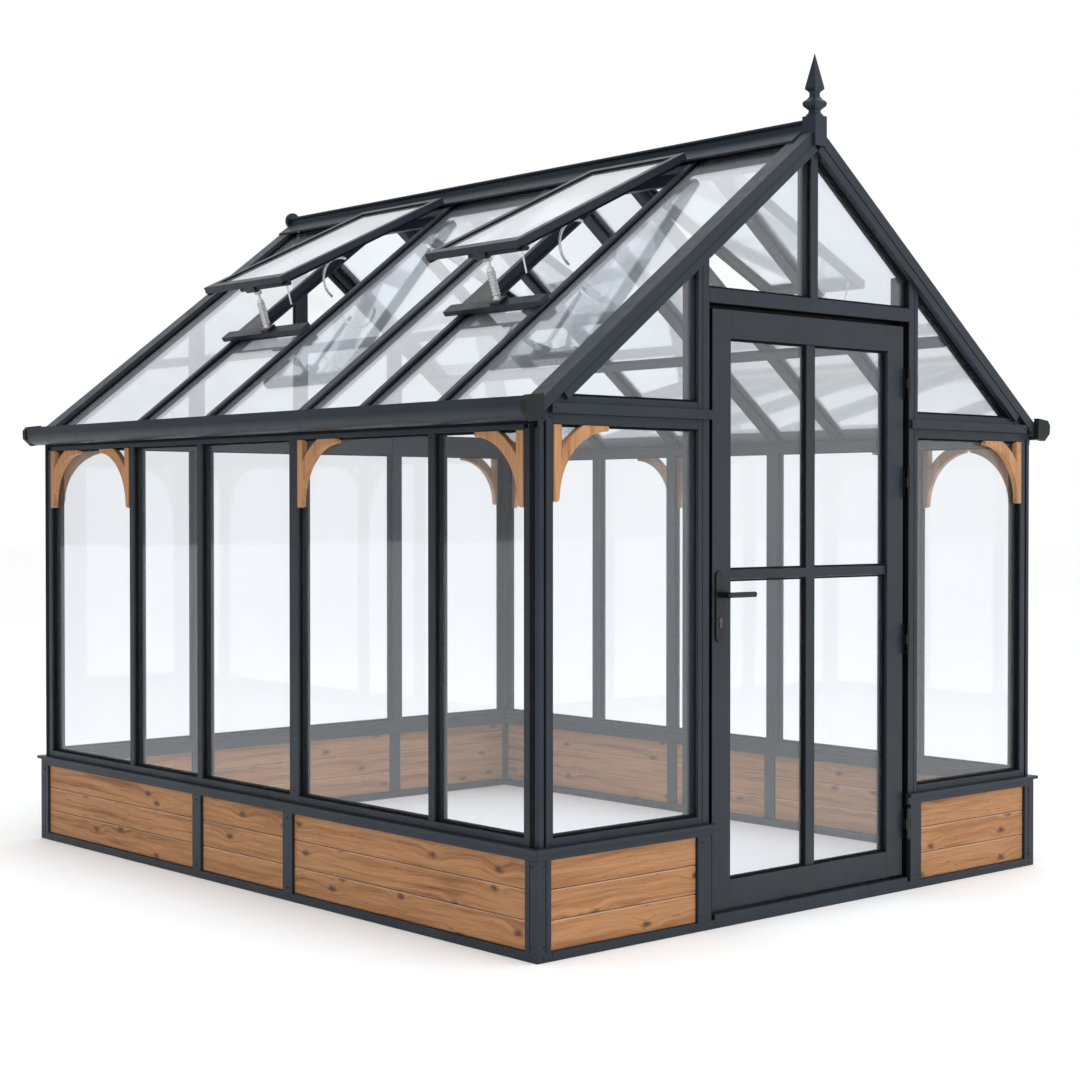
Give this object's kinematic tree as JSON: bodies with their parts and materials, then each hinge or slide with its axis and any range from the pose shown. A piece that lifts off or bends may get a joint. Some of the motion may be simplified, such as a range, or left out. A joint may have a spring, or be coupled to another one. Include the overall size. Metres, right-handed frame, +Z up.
{
  "type": "glass greenhouse",
  "caption": "Gabled glass greenhouse on a boarded dwarf wall, with a hinged glazed door, a lever handle, open roof vents and arched wooden corner brackets.",
  "frame": {"origin": "centre of the footprint, on the ground", "axes": "+Z up, +Y from the door end to the rear along the ridge, +X to the right seen from in front of the door"},
  "size_m": [2.634, 3.109, 2.863],
  "materials": {
    "frame_paint": "satin anthracite powder coat",
    "door_paint": "satin anthracite powder coat, a shade lighter",
    "boards": "oiled softwood boards with knots",
    "bracket_wood": "oiled hardwood",
    "glass": "clear toughened glass",
    "black_plastic": "moulded, matt",
    "black_metal": "satin black",
    "bright_metal": "brushed"
  },
  "bodies": {
    "house": {"sole_frame": "frame_paint", "base_posts": "frame_paint", "base_panels_side": "boards", "base_panels_gable": "boards", "base_caps": "frame_paint", "threshold": "frame_paint", "corner_posts": "frame_paint", "wall_posts": "frame_paint", "sill_rails": "frame_paint", "eave_rails": "frame_paint", "door_posts": "frame_paint", "rear_posts": "frame_paint", "gable_rails": "frame_paint", "gable_drip_moulds": "frame_paint", "door_head": "frame_paint", "king_posts": "frame_paint", "door_stops": "black_plastic", "rakes": "frame_paint", "gable_rafters": "frame_paint", "roof_bars": "frame_paint", "ridge_cap": "frame_paint", "ridge_beam": "frame_paint", "purlins": "frame_paint", "gutters": "frame_paint", "gutter_ends": "black_plastic", "finial": "frame_paint", "rear_ridge_boss": "frame_paint", "vent_curbs": "frame_paint", "vent_frames": "frame_paint", "vent_glass": "glass", "vent_openers": "bright_metal", "opener_brackets": "black_metal", "side_glass": "glass", "gable_glass": "glass", "roof_glass": "glass", "corner_brackets": "bracket_wood", "hinge_frame_halves": "black_metal"},
    "door": {"door_stiles": "door_paint", "door_rails": "door_paint", "door_bars": "door_paint", "door_glass": "glass", "hinge_door_halves": "black_metal", "lock_plates": "black_metal", "lock_barrel": "bright_metal"},
    "lever": {"door_lever": "black_metal"}
  },
  "joints": [
    {"name": "door_hinge", "type": "hinge", "parent": "house", "child": "door", "pos_m": [0.497, -1.521, 0], "axis": [0, 0, 1], "range_deg": [0, 105]},
    {"name": "lever_turn", "type": "hinge", "parent": "door", "child": "lever", "pos_m": [-0.452, -1.483, 1.065], "axis": [0, 1, 0], "range_deg": [0, 40], "stiffness_Nm_per_rad": 1, "springref_deg": -14.32}
  ]
}
